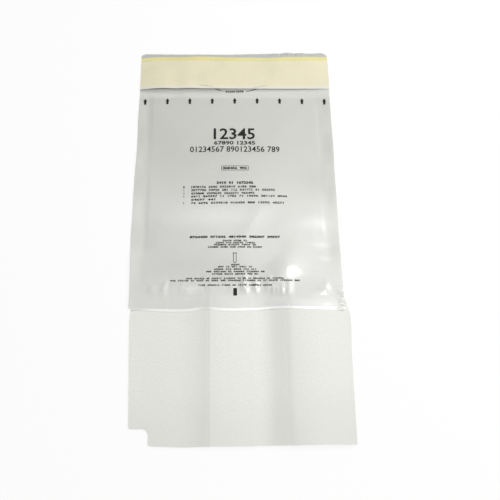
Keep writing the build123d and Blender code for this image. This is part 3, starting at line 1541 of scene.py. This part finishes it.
    def tube(self, x: float, s: float, width: float, height: float) -> None:
        """Add the outline of a specimen tube with a round end.

        Args:
            x: Its middle.
            s: Its lower end.
            width: Its width.
            height: Its height.
        """
        line, radius = 0.16 * width, width / 2
        self.bar(x - 0.65 * width, s + height - line * 1.3, 1.3 * width, line * 1.3)
        for side in (-1, 1):
            self.bar(x + side * (radius - line / 2) - line / 2, s + radius, line, height - radius)
        steps = 8
        for k in range(steps):
            a, b = (math.pi * (1 + j / steps) for j in (k, k + 1))
            ring = ((radius, a), (radius, b), (radius - line, b), (radius - line, a))
            self.patch([(x + r * math.cos(t), s + radius + r * math.sin(t)) for r, t in ring])

    def shining_mark(self) -> Piece:
        """Outer ends of the fold mark's lines, as they shine faintly through the white liner.

        Returns:
            The piece, just over the liner.
        """
        left = [(-44.0, 290.3), (-35.0, 289.2), (-25.5, 286.6)]
        right = [(25.0, 285.4), (39.7, 289.4)]
        for line in (left, right):
            for (ax, ay), (bx, by) in zip(line, line[1:]):
                self.patch([(ax, ay - 0.5), (bx, by - 0.6), (bx, by + 0.6), (ax, ay + 0.5)], 1.0)
        faint = FilmInk("ink_under_paper", opacity=0.2).material()
        piece = self.piece("fold_mark_shining_through", faint, Closure(self.shape).white_height)
        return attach(piece, "white_liner")

    def fold_mark(self, ink: Material) -> Piece:
        """Two drooping lines with a short bar between them, at the fold line.

        Args:
            ink: The ink.

        Returns:
            The piece.
        """
        left = [(-43.0, 289.8), (-35.0, 288.4), (-26.0, 286.2), (-18.0, 283.2), (-13.0, 281.0)]
        right = [(15.0, 280.8), (21.0, 282.3), (29.0, 285.0), (39.7, 288.3)]
        for line in (left, right):
            for (ax, ay), (bx, by) in zip(line, line[1:]):
                a, b = (0.35 + 0.12 * max(0.0, height - 283.0) for height in (ay, by))
                self.patch([(ax, ay - a), (bx, by - b), (bx, by + b), (ax, ay + a)], 1.0)
        self.numerals("01234 5678", -10.8, 11.8, 279.6, 3.2, 0.05)
        piece = self.piece("fold_line_mark", ink)
        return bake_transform(piece)


@dataclass
class Studio:
    """Pale floor, soft lamps and the camera, set out from the perspective of the photograph."""

    bottom_y: float
    frame_px: float = 500.0
    focal_px: float = 586.0
    middle_scale: float = 0.8750
    scale_by_row: float = 5.319e-4
    edge_row: float = 309.0
    aim_x: float = 16.3 * MM
    heading: float = math.radians(1.0)
    square: ClassVar[Sequence[tuple[int, int]]] = ((-1, -1), (1, -1), (1, 1), (-1, 1))
    floor_size: float = 4.0
    floor_glow: float = 0.85
    room_light: float = 0.33

    def ahead(self) -> float:
        """Distance from the bag's bottom edge to what shows in the middle of the picture.

        Returns:
            The distance towards the mouth, in metres.
        """
        slope = self.scale_by_row
        reach = self.focal_px * math.hypot(self.middle_scale / self.focal_px, slope) / slope
        edge = self.middle_scale + (self.edge_row - self.frame_px / 2) * slope
        return MM * (reach / self.middle_scale - reach / edge)

    def camera(self) -> None:
        """Stand the camera where the photograph was taken from."""
        across = self.middle_scale / self.focal_px
        height = MM / math.hypot(across, self.scale_by_row)
        down = math.atan2(across, self.scale_by_row)
        data = bpy.data.cameras.new("camera")
        data.sensor_width = 36.0
        data.lens = data.sensor_width * self.focal_px / self.frame_px
        data.clip_start = 0.01
        piece = Surface.place("camera", data)
        back = height / math.tan(down)
        aim_y = self.bottom_y + self.ahead()
        piece.location = (
            self.aim_x - back * math.sin(self.heading),
            aim_y - back * math.cos(self.heading),
            height,
        )
        piece.rotation_euler = (math.pi / 2 - down, 0.0, -self.heading)
        bpy.context.scene.camera = piece

    def floor(self) -> None:
        """Lay the pale floor."""
        corners = [(x * self.floor_size, y * self.floor_size, 0.0) for x, y in self.square]
        piece = Surface.mesh("floor", np.array(corners), [[0, 1, 2, 3]])
        recipe = Recipe("pale_floor")
        diffuse = recipe.add("BsdfDiffuse", Color=(0.95, 0.95, 0.95, 1.0)).outputs[0]
        glow = recipe.add("Emission", Color=(1.0, 1.0, 1.0, 1.0), Strength=1.0).outputs[0]
        path = recipe.add("LightPath").outputs
        seen = recipe.math("MAXIMUM", path["Is Camera Ray"], path["Is Glossy Ray"])
        seen = recipe.math("MAXIMUM", seen, path["Is Transmission Ray"])
        share = recipe.math("MULTIPLY", seen, self.floor_glow)
        mixed = recipe.add("MixShader", _0=share, _1=diffuse, _2=glow)
        recipe.tree.links.new(mixed.outputs[0], recipe.output.inputs[0])
        piece.data.materials.append(recipe.material)

    def lamp(
        self, name: str, place: tuple[float, float, float], size: float, power: float
    ) -> None:
        """Hang a soft square lamp that faces the bag.

        Args:
            name: The lamp's name.
            place: Where it hangs.
            size: Length of its side.
            power: Its power in watts.
        """
        data = bpy.data.lights.new(name, "AREA")
        data.size, data.energy = size, power
        piece = Surface.place(name, data)
        piece.location = place
        piece.rotation_euler = (-Vector(place)).to_track_quat("-Z", "Y").to_euler()

    def world(self) -> None:
        """Light the whole room softly, and show plain white past the floor."""
        world = bpy.data.worlds.new("room")
        world.use_nodes = True
        tree = world.node_tree
        sky = tree.nodes["Background"]
        sky.inputs[0].default_value = (1.0, 1.0, 1.0, 1.0)
        path = tree.nodes.new("ShaderNodeLightPath")
        level = tree.nodes.new("ShaderNodeMapRange")
        level.inputs["To Min"].default_value = self.room_light
        level.inputs["To Max"].default_value = 1.0
        tree.links.new(path.outputs["Is Camera Ray"], level.inputs["Value"])
        tree.links.new(level.outputs["Result"], sky.inputs[1])
        bpy.context.scene.world = world

    def build(self) -> None:
        """Set up the floor, lamps, room light and camera."""
        self.camera()
        self.floor()
        self.world()
        self.lamp("window_softbox", (0.45, 0.02, 1.4), 0.25, 4.5)
        self.lamp("side_softbox", (1.8, 1.2, 1.125), 0.9, 38.0)
        self.lamp("overhead_softbox", (0.68, 0.12, 1.45), 1.3, 6.0)
        bpy.context.scene.view_settings.view_transform = "Standard"


def main() -> None:
    """Build the bag, its sheet and the studio, and report each piece."""
    logging.basicConfig(level=logging.INFO, format="%(name)s: %(message)s")
    sheet = AbsorbentSheet.from_frame()
    shape = BagShape.from_frame(sheet)
    made = sheet.build(NonWoven("absorbent_non_woven").material())
    grey = (0.60, 0.605, 0.555)
    lip = ClearFilm("single_grey_film", grey, grey, opacity=0.8)
    made += FilmBag(shape, ClearFilm("clear_grey_film"), lip).build()
    made += Closure(shape).build()
    made += Printing(shape).build()
    for piece in made:
        log.info("%s: %d faces", piece.name, len(piece.data.polygons))
    Studio(shape.bottom_y).build()


if __name__ == "__main__":
    main()
